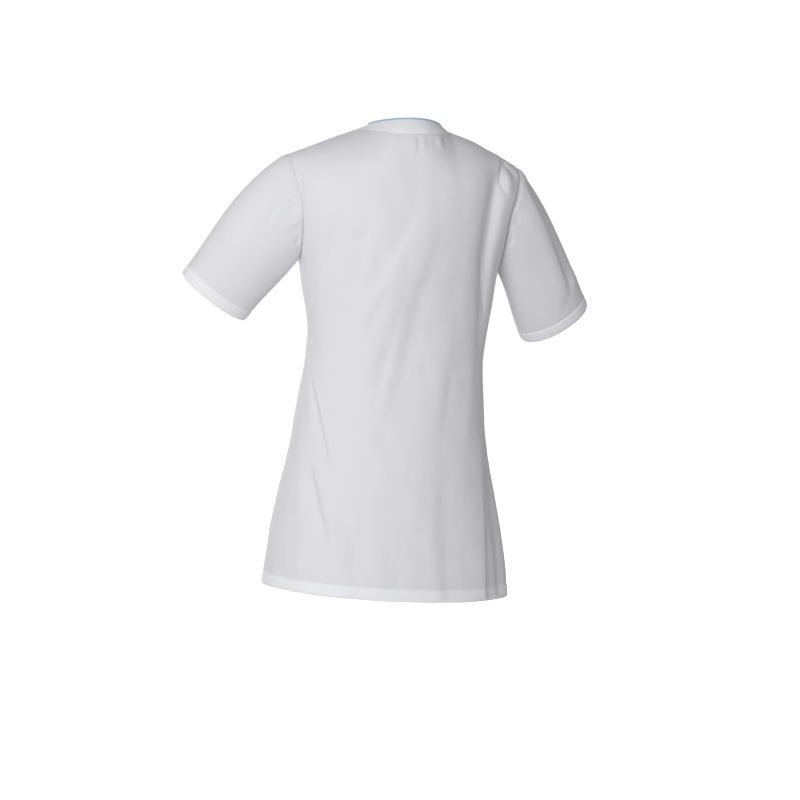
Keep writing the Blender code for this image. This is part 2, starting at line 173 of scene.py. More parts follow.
def neckCurve(facing, place, inner):
    # the neckline (inner 1) or the bands' seam (inner 0), as x and a way over the form
    half = form["neckHalf"] + (1 - inner) * form["bandOnShoulder"]
    place = np.asarray(place, float)
    if facing > 0:
        nape = form["napeSeamLevel"] + (form["napeLevel"] - form["napeSeamLevel"]) * inner
        out = np.sin(np.clip(place, -1, 1) * math.pi / 2)
        shoulder = ridgeLevel(np.copysign(half, out))
        level = nape + (shoulder - nape) * np.abs(out) ** form["napeCurve"]
        return half * out, np.maximum(wayTo(half * out, level), cloth["seamGap"])
    level = form["vSeamLevel"] + (form["vLevel"] - form["vSeamLevel"]) * inner
    down = np.maximum(0.0, 1 - np.abs(place))
    x = np.copysign(half * (1 - down ** form["vBow"]), place)
    return x, np.maximum(wayTo(0.0, level) * down, cloth["seamGap"])


def armholeCosine(t):
    scoop = np.minimum(t / form["scoop"], 1.0)
    quarter = np.sqrt(np.maximum(0.0, 1 - (1 - scoop) ** 2))
    return form["armholeCut"] * (quarter + np.sin(scoop * math.pi / 2)) / 2


def smooth(x):
    x = np.clip(x, 0.0, 1.0)
    return x * x * (3 - 2 * x)


def runAlong(points, axis=0):
    # metres along the cloth from its first row, or with axis 1 from its first column
    steps = np.linalg.norm(np.diff(points, axis=axis), axis=-1)
    start = np.zeros_like(np.take(steps, [0], axis=axis))
    return np.concatenate([start, np.cumsum(steps, axis=axis)], axis=axis)


def joined(grid):
    # a grid that runs round, with its first column again at the end
    return np.concatenate([grid, grid[:, :1]], axis=1)


def outwardNormals(points, closed=False):
    # square to the cloth at each point of a grid, out of the garment
    down = np.gradient(points, axis=0)
    if closed:
        aside = (np.roll(points, -1, axis=1) - np.roll(points, 1, axis=1)) / 2
    else:
        aside = np.gradient(points, axis=1)
    normals = unit(np.cross(aside, down))
    away = points - points.mean(axis=(0, 1))
    return normals if (away * normals).sum() > 0 else -normals


def perlin(*axes, seed=0.0):
    # smooth noise from -1 to 1 over two or three arrays of coordinates
    grids = list(np.broadcast_arrays(*axes))
    if len(grids) == 2:
        grids.append(np.full(grids[0].shape, seed))
    values = [noise.noise((x, y, z + seed)) for x, y, z in zip(*(grid.ravel() for grid in grids))]
    return np.array(values).reshape(grids[0].shape)


# How the whole garment gives a little, seams and all: the same field moves every piece
settling = {"broad": (0.110, 0.0016), "fine": (0.043, 0.0005), "seedStep": 17.3}


def settle(points):
    moved = points.copy()
    for wave, amount in (settling["broad"], settling["fine"]):
        x, y, z = (points[..., i] / wave for i in range(3))
        for axis in range(3):
            moved[..., axis] += amount * perlin(x, y, z, seed=axis * settling["seedStep"] + wave)
    return moved


# A crease runs from one point of its piece by a second to a third, in metres: s is round the
# body from the middle, toward the wearer's left, and z is the level. Depth, width and rim are in
# millimetres. The rim stands beside the trough, rimAt toward +s of it, and a crease with no rim
# is a narrow groove. fadeIn and fadeOut are the shares of its length over which it dies away. The
# tables' rows are in this order.
Crease = namedtuple("Crease", "s0 z0 s1 z1 s2 z2 depth width rim rimAt fadeIn fadeOut")
creasing = {
    "legs": 12,  # straight legs that stand for a crease's curve
    "reach": 4,  # so many widths beyond its rim it no longer counts
    "steep": 0.65, "gentle": 2.1, "rimWidth": 1.4,  # in widths of the crease
    "shortestFade": 0.01,
}
mm = 0.001


def creaseHeights(s, z, creases):
    total = np.zeros(np.broadcast_shapes(s.shape, z.shape))
    s, z = np.broadcast_to(s, total.shape), np.broadcast_to(z, total.shape)
    for crease in (Crease(*row) for row in creases):
        start = np.array((crease.s0, crease.z0))
        end = np.array((crease.s2, crease.z2))
        control = 2 * np.array((crease.s1, crease.z1)) - (start + end) / 2
        t = np.linspace(0, 1, creasing["legs"] + 1)[:, None]
        path = (1 - t) ** 2 * start + 2 * t * (1 - t) * control + t * t * end
        reach = mm * (creasing["reach"] * crease.width + abs(crease.rimAt))
        low, high = path.min(axis=0) - reach, path.max(axis=0) + reach
        near = (s > low[0]) & (s < high[0]) & (z > low[1]) & (z < high[1])
        if not near.any():
            continue
        ps, pz = s[near], z[near]
        best = np.full(ps.shape, np.inf)
        along = np.zeros(ps.shape)
        signed = np.zeros(ps.shape)
        for i in range(creasing["legs"]):
            step = path[i + 1] - path[i]
            length = math.hypot(*step)
            ds, dz = ps - path[i, 0], pz - path[i, 1]
            part = np.clip((ds * step[0] + dz * step[1]) / length**2, 0, 1)
            away = np.hypot(ds - part * step[0], dz - part * step[1])
            closer = away < best
            best = np.where(closer, away, best)
            along = np.where(closer, (i + part) / creasing["legs"], along)
            side = (dz * step[0] - ds * step[1]) / length
            signed = np.where(closer, np.copysign(away, side), signed)
        # the trough is steep toward its rim and runs out gently on the other side
        signed = signed * math.copysign(1, crease.rimAt)
        width = crease.width * mm
        other = creasing["gentle"] if crease.rim else creasing["steep"]
        steepness = np.where(signed > 0, creasing["steep"], other)
        trough = -crease.depth * bell(signed, steepness * width)
        rim = crease.rim * bell(signed - abs(crease.rimAt) * mm, creasing["rimWidth"] * width)
        fadeIn = smooth(along / max(crease.fadeIn, creasing["shortestFade"]))
        fadeOut = smooth((1 - along) / max(crease.fadeOut, creasing["shortestFade"]))
        total[near] += (trough + rim) * mm * fadeIn * fadeOut
    return total


# How sewing draws the cloth up: ripples of this wave along the seam, this high, and how far they reach
Pucker = namedtuple("Pucker", "wave height reach")
hemPucker = Pucker(0.011, 0.0009, 0.009)
cuffPucker = Pucker(0.010, 0.0009, 0.008)
sidePucker = Pucker(0.013, 0.0009, 0.010)
yokePucker = Pucker(0.010, 0.0008, 0.009)
headPucker = Pucker(0.012, 0.0016, 0.011)
bandPucker = Pucker(0.008, 0.0012, 0.012)
puckering = {"stretch": 6, "flatBeside": 0.002}


def puckers(along, away, kind, seed):
    # short ripples square to a seam, dying away from it
    ripple = perlin(along / kind.wave, away / (puckering["stretch"] * kind.wave), seed=seed)
    beside = 1 - np.exp(-away / puckering["flatBeside"])
    return kind.height * ripple * np.exp(-away / kind.reach) * beside


hemShape = {
    "proud": 0.0007, "proudTo": 0.0010, "proudFade": 0.0024, "proudFrom": 0.002,
    "groove": 0.0011, "grooveWidth": 0.0014, "edgeDip": 0.0004, "edgeWidth": 0.0012,
}
# Where the rows of a hem lie above its edge, close together at the fold and the stitch line
hemRows = np.array((
    0.0, 0.0010, 0.0035, 0.0070, 0.0105, 0.0140, 0.0162, 0.0175, 0.0185, 0.0195, 0.0208, 0.0230,
))
stitchRow = int(np.argmin(np.abs(hemRows - cloth["stitchUp"])))


def hemProfile(up):
    # the turned-up hem stands a little proud and dips at its stitch line
    toLine = cloth["stitchUp"] - up
    below = smooth((toLine + hemShape["proudTo"]) / hemShape["proudFade"])
    proud = hemShape["proud"] * below * smooth(up / hemShape["proudFrom"])
    groove = hemShape["groove"] * bell(toLine, hemShape["grooveWidth"])
    return proud - groove - hemShape["edgeDip"] * bell(up, hemShape["edgeWidth"])


def doubledIn(up):
    # 1 in a hem, where the cloth lies double, and 0 above it
    return smooth((cloth["hem"] + cloth["hemFadeUp"] - up) / cloth["hemFade"])


def asPiece(bm, name, material):
    # a finished mesh becomes a piece of the garment and rides on its one body
    bmesh.ops.recalc_face_normals(bm, faces=bm.faces)
    mesh = bpy.data.meshes.new(name)
    bm.to_mesh(mesh)
    bm.free()
    mesh.materials.append(material)
    mesh.shade_smooth()
    piece = placed(name, mesh)
    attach(piece, "root")
    return piece


def layGrid(name, points, flat, material, inward=None, turned=(), doubled=None, closed=False):
    # rows of points as one sheet, whose edges named in turned get an allowance along inward
    rows, columns = points.shape[:2]
    bm = bmesh.new()
    uvLayer = bm.loops.layers.uv.new("flat")
    bm.verts.layers.float.new("doubled")
    bmesh.ops.create_grid(bm, x_segments=columns - 1, y_segments=rows - 1, size=1.0)
    place = {}
    for vert in bm.verts:
        column = round((vert.co.x + 1) / 2 * (columns - 1))
        row = round((vert.co.y + 1) / 2 * (rows - 1))
        place[vert] = (row, column)
        vert.co = points[row, column]
    flatOf = {vert: flat[where] for vert, where in place.items()}
    for face in bm.faces:
        for loop in face.loops:
            loop[uvLayer].uv = flatOf[loop.vert]
    if turned:
        turnEdges(bm, place, flatOf, uvLayer, rows, columns, inward, turned)
    if doubled is not None:
        doubledLayer = bm.verts.layers.float["doubled"]
        for vert, where in place.items():
            vert[doubledLayer] = doubled[where]
    if closed:
        bmesh.ops.remove_doubles(bm, verts=bm.verts, dist=1e-6)
    return asPiece(bm, name, material)


def turnEdges(bm, place, flatOf, uvLayer, rows, columns, inward, turned):
    # carries the raw edges inside the garment, as the allowances of sewn seams
    def onTurnedEdge(vert):
        row, column = place[vert]
        return (
            ("low" in turned and row == 0) or ("top" in turned and row == rows - 1)
            or ("sides" in turned and column in (0, columns - 1))
        )

    def sameEdge(edge):
        (rowA, columnA), (rowB, columnB) = (place[v] for v in edge.verts)
        if rowA == rowB and rowA in (0, rows - 1):
            return ("low" if rowA == 0 else "top") in turned
        return columnA == columnB and "sides" in turned

    edges = [e for e in bm.edges if e.is_boundary and all(map(onTurnedEdge, e.verts)) and sameEdge(e)]
    origin = {v: v for e in edges for v in e.verts}
    for depth in (cloth["fold"], cloth["allowance"]):
        made = bmesh.ops.extrude_edge_only(bm, edges=edges)["geom"]
        fresh = [g for g in made if isinstance(g, bmesh.types.BMVert)]
        edges = [g for g in made if isinstance(g, bmesh.types.BMEdge)]
        beside = [next(e.other_vert(v) for e in v.link_edges if e.other_vert(v) in origin) for v in fresh]
        origin = {vert: origin[old] for vert, old in zip(fresh, beside)}
        for vert, base in origin.items():
            vert.co = base.co + Vector(inward[place[base]]) * depth
            flatOf[vert] = flatOf[base] + depth
        for face in {f for v in fresh for f in v.link_faces}:
            for loop in face.loops:
                loop[uvLayer].uv = flatOf[loop.vert]


def thicken(piece, thickness, hemmed=False):
    # the wall goes to the inside, and a hemmed piece has the whole thickness only in its hem
    wall = piece.modifiers.new("Wall", "SOLIDIFY")
    wall.thickness = thickness
    wall.offset = -1.0
    if hemmed:
        group = piece.vertex_groups.new(name="wall")
        single = cloth["wall"] / thickness
        for i, item in enumerate(piece.data.attributes["doubled"].data):
            group.add([i], single + (1 - single) * item.value, "REPLACE")
        wall.vertex_group = "wall"
    bpy.context.view_layer.update()
    graph = bpy.context.evaluated_depsgraph_get()
    mesh = bpy.data.meshes.new_from_object(piece.evaluated_get(graph))
    old = piece.data
    piece.modifiers.clear()
    piece.data = mesh
    mesh.name = piece.name
    bpy.data.meshes.remove(old)


# The front and the back

panel = {
    "neckColumns": 40,  # on each half, along the neck's seam
    "shoulderColumns": 70,  # on each half, along the shoulder's seam
    "skirtRows": 105, "chestRows": 78,
    "lastColumn": 0.99472, "lastRow": 0.998,  # one more each, close beside the seams
    "rounds": 8,  # a chest row's level and width are found in turns
    "swells": ((0.0020, 0.055, 0.170), (0.0010, 0.024, 0.055)),  # height, wave round and down the body
    "seeds": {1: 3.0, -1: 9.0},
    "calmSide": 0.014, "calmTop": 0.011,  # creases die away this near the seams
    "sideFrom": 0.03, "sideFade": 0.05,  # above the hem, where the side seam begins to pucker
    "hemToSide": 0.002,  # the hem's own shape begins over this width beside the seam
    "chestFrom": 0.004, "chestFade": 0.012,  # about the underarm, where the armhole's dip begins
}


def acrossPlaces():
    neck = np.linspace(0, form["neckShare"], panel["neckColumns"] + 1)
    out = np.linspace(form["neckShare"], 1, panel["shoulderColumns"] + 1)[1:]
    half = np.concatenate([neck, np.insert(out, -1, panel["lastColumn"])])
    return np.concatenate([-half[:0:-1], half])


def neckPlaces():
    # the columns' places on the neck's seam, from -1 to 1, and which columns end there
    place = acrossPlaces() / form["neckShare"]
    return place, np.abs(place) <= 1.0 + 1e-9


def chestSteps():
    # even steps from the underarm, 0, to the shoulder, 1, and a last narrow one
    steps = np.linspace(0, 1, panel["chestRows"] + 1)[1:]
    return np.insert(steps, -1, panel["lastRow"])


def panelPoints(facing):
    across = acrossPlaces()[None, :]
    place, onNeck = (values[None, :] for values in neckPlaces())
    low = np.full(across.shape, form["underarm"])
    if facing < 0:
        low = low - form["chestDip"] * (1 - np.minimum(np.abs(place), 1.0) ** 2) ** 2
    start = form["hemLevel"] + hemRows[-1]
    share = np.linspace(0, 1, panel["skirtRows"] + 1)[1:, None]
    levels = np.concatenate([
        np.broadcast_to(form["hemLevel"] + hemRows[:, None], (len(hemRows), across.shape[1])),
        start + (low - start) * share,
    ])
    half = through(halfWidth, levels)
    edge = 1 - cloth["seamGap"] / half / (math.pi / 2)
    skirt = atLevel(half * np.sin(across * edge * math.pi / 2), levels, facing)
    x = skirt[..., 0]
    tilt = (form["hemTilt"] + form["hemSideRise"] * x) * x
    skirt[..., 2] += tilt * (levels / form["hemLevel"]) ** form["hemTiltPower"]

    t = chestSteps()[:, None]
    turn = np.arccos(armholeCosine(t))
    power = form["swingBack"] if facing > 0 else form["swingFront"]
    out = (np.abs(across) - form["neckShare"]) / (1 - form["neckShare"])
    swing = np.where(onNeck, np.abs(place) ** power, np.maximum(1 - out, 0) ** form["swingOut"])
    gap = -cloth["seamGap"] / form["bandOnShoulder"]
    seamX, seamWay = neckCurve(facing, np.clip(place, -1, 1), gap)
    top = np.where(onNeck, seamWay, cloth["seamGap"])
    level = np.broadcast_to(low, (len(t), across.shape[1]))
    for _ in range(panel["rounds"]):
        half = through(halfWidth, level)
        squeeze = (math.pi / 2 - turn) * across * np.abs(across)
        x = half * np.sin(across * math.pi / 2 - squeeze)
        x = np.where(onNeck, x + (seamX - x) * t * t, x)
        bottom = wayTo(x, low)
        x = x + np.sign(across) * swing * (bottom - top) * t * t * (1 - t)
        way = bottom * (1 - t) + top * t
        level = ridgeLevel(x) - fallAt(x, way)[0]
    return np.concatenate([skirt, onForm(x, way, facing)])


def roundBody(points, facing):
    # metres round the body from the middle, and the level, for placing creases
    x, z = points[..., 0], points[..., 2]
    half = through(halfWidth, z)
    depth = through(backDepth if facing > 0 else frontDepth, z)
    return (half + depth) / 2 * np.arcsin(np.clip(x / half, -1, 1)), z


def edgeDistances(points):
    # along the cloth: to the nearer side, to the top edge, from the right side, and up from the hem
    along, up = runAlong(points, 1), runAlong(points)
    return np.minimum(along, along[:, -1:] - along), up[-1:] - up, along, up


backCreases = (
    # the sharp drag line from the wearer's left side down toward the middle, and its soft end
    (0.195, -0.334, 0.153, -0.437, 0.118, -0.543, 3.6, 4.4, 1.0, -7.5, 0.05, 0.10),
    (0.160, -0.535, 0.134, -0.610, 0.100, -0.700, 5.4, 9.0, 2.2, -15.0, 0.30, 0.45),
    # the deep trough beside the right armhole, its sharp bottom, and the one inside the right side
    (-0.122, -0.044, -0.123, -0.200, -0.138, -0.392, 6.5, 25.0, 0.0, 1.0, 0.16, 0.30),
    (-0.124, -0.050, -0.125, -0.170, -0.136, -0.290, 6.5, 15.0, 0.4, -26.0, 0.16, 0.45),
    (-0.117, -0.185, -0.127, -0.240, -0.146, -0.305, 3.4, 4.4, 0.0, 1.0, 0.35, 0.30),
    (-0.166, -0.455, -0.148, -0.610, -0.147, -0.752, 8.5, 11.0, 0.3, 18.0, 0.30, 0.02),
    (-0.184, -0.440, -0.182, -0.600, -0.188, -0.752, 7.0, 27.0, 0.0, 1.0, 0.35, 0.02),
    # drag folds at the right shoulder, two thin lines that part from one place
    (-0.130, -0.044, -0.130, -0.076, -0.146, -0.114, 2.6, 3.8, 0.0, 1.0, 0.12, 0.40),
    (-0.131, -0.048, -0.135, -0.078, -0.148, -0.114, 1.6, 4.4, 1.0, -9.0, 0.20, 0.40),
    (-0.131, -0.045, -0.149, -0.061, -0.171, -0.071, 3.4, 4.8, 0.6, -8.0, 0.15, 0.30),
    # beside the left armhole
    (0.168, -0.085, 0.172, -0.128, 0.177, -0.180, 3.6, 6.0, 1.0, -11.0, 0.25, 0.35),
    # the broad shallow run across the back, and dents in it
    (-0.045, -0.120, -0.012, -0.306, 0.040, -0.540, 4.6, 26.0, 2.0, 46.0, 0.30, 0.30),
    (0.004, -0.200, 0.020, -0.330, 0.066, -0.470, 2.4, 17.0, 1.2, 30.0, 0.40, 0.40),
    (-0.078, -0.300, -0.066, -0.420, -0.046, -0.560, 2.0, 17.0, 0.6, 30.0, 0.40, 0.40),
    (0.062, -0.182, 0.080, -0.186, 0.098, -0.182, 1.4, 10.0, 0.6, 14.0, 0.40, 0.40),
    # light drag lines between the shoulder blades, of uneven length
    (0.066, -0.160, 0.073, -0.215, 0.081, -0.290, 2.0, 7.0, 1.0, -12.0, 0.30, 0.40),
    (-0.004, -0.132, 0.034, -0.215, 0.063, -0.292, 2.0, 9.0, 0.9, -15.0, 0.30, 0.35),
    (0.030, -0.248, 0.049, -0.305, 0.070, -0.362, 1.7, 7.0, 0.8, 12.0, 0.35, 0.40),
    (0.094, -0.130, 0.122, -0.188, 0.143, -0.250, 1.6, 9.0, 0.7, 14.0, 0.35, 0.40),
    (0.018, -0.318, 0.038, -0.405, 0.053, -0.495, 1.8, 10.0, 0.8, -16.0, 0.35, 0.40),
    # short gathers under the neck band, to the right of the middle
    (0.000, -0.020, 0.000, -0.035, 0.001, -0.056, 1.4, 3.0, 0.7, 5.0, 0.08, 0.55),
    (-0.012, -0.019, -0.011, -0.033, -0.009, -0.049, 1.6, 2.8, 0.8, 5.0, 0.08, 0.55),
    (-0.023, -0.018, -0.023, -0.030, -0.024, -0.043, 1.4, 2.8, 0.8, -5.0, 0.08, 0.55),
    (-0.034, -0.017, -0.035, -0.029, -0.038, -0.042, 1.3, 2.8, 0.7, 5.0, 0.08, 0.55),
    (0.040, -0.017, 0.044, -0.032, 0.047, -0.050, 0.7, 3.4, 0.5, 5.0, 0.10, 0.55),
    # faint folds in the lower skirt, all unlike each other
    (0.085, -0.600, 0.074, -0.670, 0.070, -0.752, 2.0, 17.0, 1.0, 26.0, 0.45, 0.02),
    (-0.050, -0.520, -0.056, -0.640, -0.068, -0.752, 2.2, 20.0, 0.4, 30.0, 0.40, 0.02),
    (0.030, -0.560, 0.022, -0.650, 0.020, -0.752, 2.2, 28.0, 0.8, 44.0, 0.35, 0.02),
)
frontCreases = (
    (0.090, -0.300, 0.104, -0.480, 0.130, -0.752, 7.0, 14.0, 3.0, 26.0, 0.30, 0.02),
    (-0.095, -0.290, -0.104, -0.500, -0.100, -0.752, 7.0, 15.0, 3.0, -27.0, 0.30, 0.02),
    (0.010, -0.400, 0.004, -0.560, -0.012, -0.752, 4.0, 18.0, 2.0, 32.0, 0.35, 0.02),
    (0.050, -0.470, 0.056, -0.600, 0.064, -0.752, 2.6, 12.0, 1.6, -20.0, 0.40, 0.02),
    (-0.050, -0.520, -0.048, -0.640, -0.056, -0.752, 2.2, 11.0, 1.4, 18.0, 0.40, 0.02),
    # drawn down from the point of the V, and from the bust
    (0.002, -0.206, 0.004, -0.270, 0.012, -0.350, 2.0, 7.0, 1.0, 12.0, 0.15, 0.50),
    (0.060, -0.215, 0.074, -0.260, 0.082, -0.330, 2.2, 10.0, 1.2, 17.0, 0.40, 0.45),
    (-0.058, -0.225, -0.070, -0.280, -0.076, -0.340, 2.4, 10.0, 1.2, -17.0, 0.40, 0.45),
    (0.168, -0.120, 0.150, -0.190, 0.140, -0.270, 3.6, 10.0, 1.4, -16.0, 0.20, 0.35),
    (-0.165, -0.125, -0.150, -0.200, -0.150, -0.300, 4.0, 11.0, 1.6, 18.0, 0.20, 0.35),
    (0.190, -0.330, 0.150, -0.390, 0.118, -0.470, 2.4, 8.0, 1.3, 12.0, 0.15, 0.35),
    (-0.190, -0.345, -0.160, -0.400, -0.138, -0.500, 2.6, 9.0, 1.3, -13.0, 0.15, 0.35),
)


def panelHeights(points, facing):
    s, z = roundBody(points, facing)
    side, top, along, up = edgeDistances(points)
    seed = panel["seeds"][facing]
    height = creaseHeights(s, z, backCreases if facing > 0 else frontCreases)
    for i, (swell, around, down) in enumerate(panel["swells"]):
        height += swell * perlin(s / around, z / down, seed=seed + i)
    height *= smooth(side / panel["calmSide"]) * smooth(top / panel["calmTop"])
    height += puckers(along, np.abs(up - cloth["stitchUp"]), hemPucker, seed + 2)
    aboveHem = smooth((up - panel["sideFrom"]) / panel["sideFade"])
    height += puckers(up, side, sidePucker, seed + 3) * aboveHem
    height += puckers(along, top, yokePucker, seed + 4)
    height += hemProfile(up) * smooth(side / panel["hemToSide"])
    height -= cloth["seamSink"] * (bell(side, cloth["sinkWidth"]) + bell(top, cloth["sinkWidth"]))
    sink = np.where(points[..., 0] > 0, cloth["armholeSink"][1], cloth["armholeSink"][-1])
    chest = smooth((up - up[skirtCount - 1] + panel["chestFrom"]) / panel["chestFade"])
    return height - sink * chest * bell(side, cloth["armholeSinkWidth"])


def armholeIndex(side):
    # the column of a panel's grid at its armhole and side seam
    return -1 if side > 0 else 0


print("laying out the panels")
basePoints = {facing: panelPoints(facing) for facing in (1, -1)}
skirtCount = len(hemRows) + panel["skirtRows"]


def armholeLoop(side):
    # from the shoulder down the back and up the front
    column = armholeIndex(side)
    behind = basePoints[1][skirtCount - 1:, column][::-1]
    before = basePoints[-1][skirtCount - 1:, column][::-1]
    tip, pit = (behind[0] + before[0]) / 2, (behind[-1] + before[-1]) / 2
    return np.concatenate([[tip], behind[1:-1], [pit], before[-2:0:-1]])


# The sleeves

sleeve = {
    "rows": 84, "firstRow": 0.003,  # and one more row, close beside the armhole
    "gap": 0.00005,
    "axis": (0.525, -0.329, -0.784), "top": (0.830, 0.000, 0.557),
    "cuffTop": 0.0635, "cuffSide": 0.048,
    "girth": 0.36,  # the whole way round, as creases count it
    "tipCrowd": 1.4, "pitCrowd": 1.25,
    "swell": 0.0012, "swellRound": 1.1, "swellDown": 0.09,
    "calmHead": 0.012, "calmCuff": 0.012, "cuffFade": 0.03, "leastCrease": 0.35,
    "ease": 0.0016, "easeReach": 0.016, "easeFrom": 0.004,  # the fullness of the sleeve's head
    "leastPucker": 0.35,
}
Hang = namedtuple("Hang", "side out forward down shoulderFall seed")
hangs = {
    "sleeve_left": Hang(1, 0.291, 0.060, 0.284, 0.56, 21.0),
    "sleeve_right": Hang(-1, 0.284, 0.060, 0.301, 0.95, 33.0),
}
# s is round the sleeve from the shoulder line over the back, and z is minus the way along it
sleeveCreases = {
    "sleeve_left": (
        (0.046, -0.027, 0.068, -0.021, 0.093, -0.012, 2.4, 4.2, 0.8, 7.0, 0.30, 0.15),
        (0.062, -0.012, 0.070, -0.040, 0.082, -0.080, 2.0, 5.0, 0.9, 9.0, 0.20, 0.45),
        (0.118, -0.004, 0.112, -0.020, 0.100, -0.045, 1.8, 5.0, 0.8, -8.0, 0.20, 0.45),
        (0.142, -0.003, 0.136, -0.014, 0.126, -0.022, 2.0, 3.6, 0.9, 6.0, 0.20, 0.45),
        (0.230, -0.030, 0.236, -0.090, 0.250, -0.160, 3.0, 12.0, 1.0, 18.0, 0.25, 0.35),
        (0.290, -0.015, 0.276, -0.060, 0.262, -0.110, 3.0, 9.0, 1.2, -14.0, 0.15, 0.40),
    ),
    "sleeve_right": (
        (0.100, -0.004, 0.092, -0.014, 0.080, -0.026, 1.6, 4.5, 0.8, 7.0, 0.20, 0.45),
        (0.128, -0.004, 0.118, -0.014, 0.104, -0.022, 1.8, 4.5, 0.8, 7.0, 0.20, 0.45),
        (0.026, -0.010, 0.036, -0.090, 0.046, -0.215, 7.5, 14.0, 2.2, 25.0, 0.25, 0.10),
        (0.235, -0.030, 0.244, -0.090, 0.262, -0.170, 3.2, 13.0, 1.2, 19.0, 0.25, 0.35),
        (0.292, -0.012, 0.280, -0.060, 0.270, -0.120, 3.4, 10.0, 1.2, -15.0, 0.15, 0.40),
    ),
}


def turnAt(t):
    # how far round the armhole a height of it is, from the shoulder, 0, to the underarm, pi
    return math.pi * (1 - (1 - (1 - t) ** (1 / sleeve["pitCrowd"])) ** (1 / sleeve["tipCrowd"]))


def sleevePoints(hang):
    first = armholeLoop(hang.side)
    half = turnAt(np.concatenate([[0.0], chestSteps()]))[::-1]
    turn = np.concatenate([half, 2 * math.pi - half[-2:0:-1]])
    mirror = np.array((hang.side, 1, 1))
    axis = unit(np.array(sleeve["axis"]))
    up = np.array(sleeve["top"])
    up = unit(up - axis * (up @ axis))
    back = np.cross(up, axis)
    cuff = np.array((hang.out, -hang.forward, -hang.down))
    cuff = cuff + sleeve["cuffTop"] * np.cos(turn)[:, None] * up
    cuff = (cuff + sleeve["cuffSide"] * np.sin(turn)[:, None] * back) * mirror
    top = ((1 + np.cos(turn)) / 2)[:, None]
    run = unit(np.array((1.0, 0.0, -hang.shoulderFall)))
    leave = unit(run * top + axis * (1 - top)) * mirror
    length = np.linalg.norm(cuff - first, axis=1)[:, None]
    first = first + leave * sleeve["gap"]
    hemShare = hemRows[::-1, None] / length[None, :, 0]
    steps = np.linspace(0, 1, sleeve["rows"] + 1)[:-1]
    steps = np.insert(steps, 1, sleeve["firstRow"])
    t = np.concatenate([steps[:, None] * (1 - hemShare[:1]), 1 - hemShare])[..., None]
    points = (
        first * ((1 + 2 * t) * (1 - t) ** 2)
        + leave * length * (t * (1 - t) ** 2)
        + cuff * (t * t * (3 - 2 * t))
        + axis * mirror * length * (t * t * (t - 1))
    )
    return points, turn


def sleeveHeights(points, turn, hang, creases):
    around, down = runAlong(joined(points), 1), runAlong(points)
    s = around[:, :-1] / around[:, -1:] * sleeve["girth"]
    around, toCuff = around[:, :-1], down[-1:] - down
    cosine, sine = np.cos(turn)[None, :], np.sin(turn)[None, :]
    height = creaseHeights(s, -down, creases)
    height += sleeve["swell"] * perlin(
        cosine * sleeve["swellRound"], sine * sleeve["swellRound"], down / sleeve["swellDown"], seed=hang.seed
    )
    aboveCuff = smooth((toCuff - sleeve["calmCuff"]) / sleeve["cuffFade"])
    least = sleeve["leastCrease"]
    height *= smooth(down / sleeve["calmHead"]) * (least + (1 - least) * aboveCuff)
    head = (1 + cosine) / 2
    ease = np.exp(-down / sleeve["easeReach"]) * (1 - np.exp(-down / sleeve["easeFrom"]))
    height += sleeve["ease"] * head * ease
    least = sleeve["leastPucker"]
    height += puckers(around, down, headPucker, hang.seed + 1) * (least + (1 - least) * head)
    height += puckers(around, np.abs(toCuff - cloth["stitchUp"]), cuffPucker, hang.seed + 2)
    height += hemProfile(toCuff)
    height -= cloth["seamSink"] * bell(down, cloth["sinkWidth"])
    return height - cloth["armholeSink"][hang.side] * bell(down, cloth["armholeSinkWidth"])


print("laying out the sleeves")
sleeveBase = {name: sleevePoints(hang) for name, hang in hangs.items()}


def armholeInward(name, hang):
    # the way that both allowances of an armhole lie, between the body's side and the sleeve's
    column = armholeIndex(hang.side)
    behind, before = (
        outwardNormals(basePoints[facing])[skirtCount - 1:, column][::-1] for facing in (1, -1)
    )
    body = np.concatenate([behind, before[-2:0:-1]])
    body[0] = unit(behind[0] + before[0])
    body[len(behind) - 1] = unit(behind[-1] + before[-1])
    return -unit(body + outwardNormals(sleeveBase[name][0], closed=True)[0])


inwardAt = {name: armholeInward(name, hang) for name, hang in hangs.items()}


# Materials

def addNode(tree, kind, values=None, **settings):
    # a node with its settings, and the values of its unlinked sockets
    node = tree.nodes.new(kind)
    for setting, value in settings.items():
        setattr(node, setting, value)
    for socket, value in (values or {}).items():
        node.inputs[socket].default_value = value
    return node


def join(giver, output, taker, socket):
    giver.id_data.links.new(giver.outputs[output], taker.inputs[socket])


def newMaterial(name):
    material = bpy.data.materials.new(name)
    material.use_nodes = True
    return material, material.node_tree, material.node_tree.nodes["Principled BSDF"]


def newGroup(name, given, value, outputs):
    # a shared effect with one number given to it, and its input and output nodes
    group = bpy.data.node_groups.new(name, "ShaderNodeTree")
    made = group.interface.new_socket(name=given, in_out="INPUT", socket_type="NodeSocketFloat")
    made.default_value = value
    for output in outputs:
        group.interface.new_socket(name=output, in_out="OUTPUT", socket_type="NodeSocketFloat")
    return group, addNode(group, "NodeGroupInput"), addNode(group, "NodeGroupOutput")


